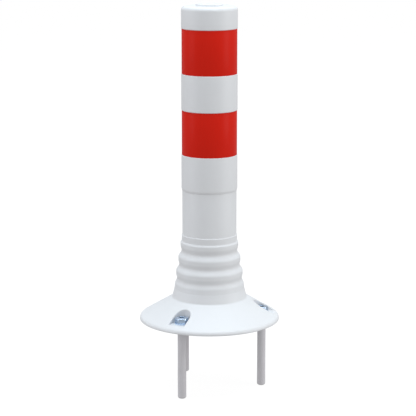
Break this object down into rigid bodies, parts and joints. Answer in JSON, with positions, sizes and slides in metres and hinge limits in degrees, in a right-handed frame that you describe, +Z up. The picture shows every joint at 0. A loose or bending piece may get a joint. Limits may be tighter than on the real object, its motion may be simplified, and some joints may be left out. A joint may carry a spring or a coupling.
{
  "type": "delineator post",
  "caption": "White flexible traffic delineator post with red retroreflective bands, on a ribbed neck that bends and stands up again, and a round base anchored by hex screws in plugs.",
  "frame": {"origin": "centre of the base's flat underside, on the post's axis, at road level", "axes": "+Z up along the post, +X from the axis to the first anchor screw; the butt joint of the red bands is at the back, on +Y"},
  "size_m": [0.2, 0.2, 0.55],
  "materials": {
    "white_body": "satin moulded polyurethane",
    "red_sheeting": "smooth retroreflective sheeting",
    "zinc_steel": "bright zinc plate",
    "grey_nylon": "matte nylon"
  },
  "bodies": {
    "base": {"base_flange": "white_body", "hex_screw_1": "zinc_steel", "hex_screw_2": "zinc_steel", "hex_screw_3": "zinc_steel", "washer_1": "zinc_steel", "washer_2": "zinc_steel", "washer_3": "zinc_steel", "anchor_plug_1": "grey_nylon", "anchor_plug_2": "grey_nylon", "anchor_plug_3": "grey_nylon"},
    "neck_foot": {"neck_foot": "white_body"},
    "neck_middle": {"neck_ring_lower": "white_body", "neck_ring_middle": "white_body"},
    "neck_top": {"neck_ring_upper": "white_body", "neck_collar": "white_body"},
    "post": {"lower_tube": "white_body", "upper_sleeve": "white_body", "red_band_lower": "red_sheeting", "red_band_upper": "red_sheeting", "top_plug": "white_body"}
  },
  "joints": [
    {"name": "neck_direction", "type": "hinge", "parent": "base", "child": "neck_foot", "pos_m": [0, 0, 0.0455], "axis": [0, 0, 1], "continuous": true},
    {"name": "neck_lean", "type": "hinge", "parent": "neck_foot", "child": "neck_middle", "pos_m": [0, 0, 0.06705], "axis": [0, 1, 0], "range_deg": [-50, 50], "stiffness_Nm_per_rad": 60, "deforming": ["neck_foot", "neck_ring_lower"]},
    {"name": "neck_lean_2", "type": "hinge", "parent": "neck_middle", "child": "neck_top", "pos_m": [0, 0, 0.1058], "axis": [0, 1, 0], "range_deg": [-40, 40], "deforming": ["neck_ring_middle", "neck_ring_upper", "neck_collar"]},
    {"name": "post_counter_turn", "type": "hinge", "parent": "neck_top", "child": "post", "pos_m": [0, 0, 0.123], "axis": [0, 0, 1], "continuous": true, "deforming": ["neck_collar"]}
  ],
  "couplings": [
    {"joint": "neck_lean_2", "follows": "neck_lean", "ratio": 0.8},
    {"joint": "post_counter_turn", "follows": "neck_direction", "ratio": -1}
  ]
}
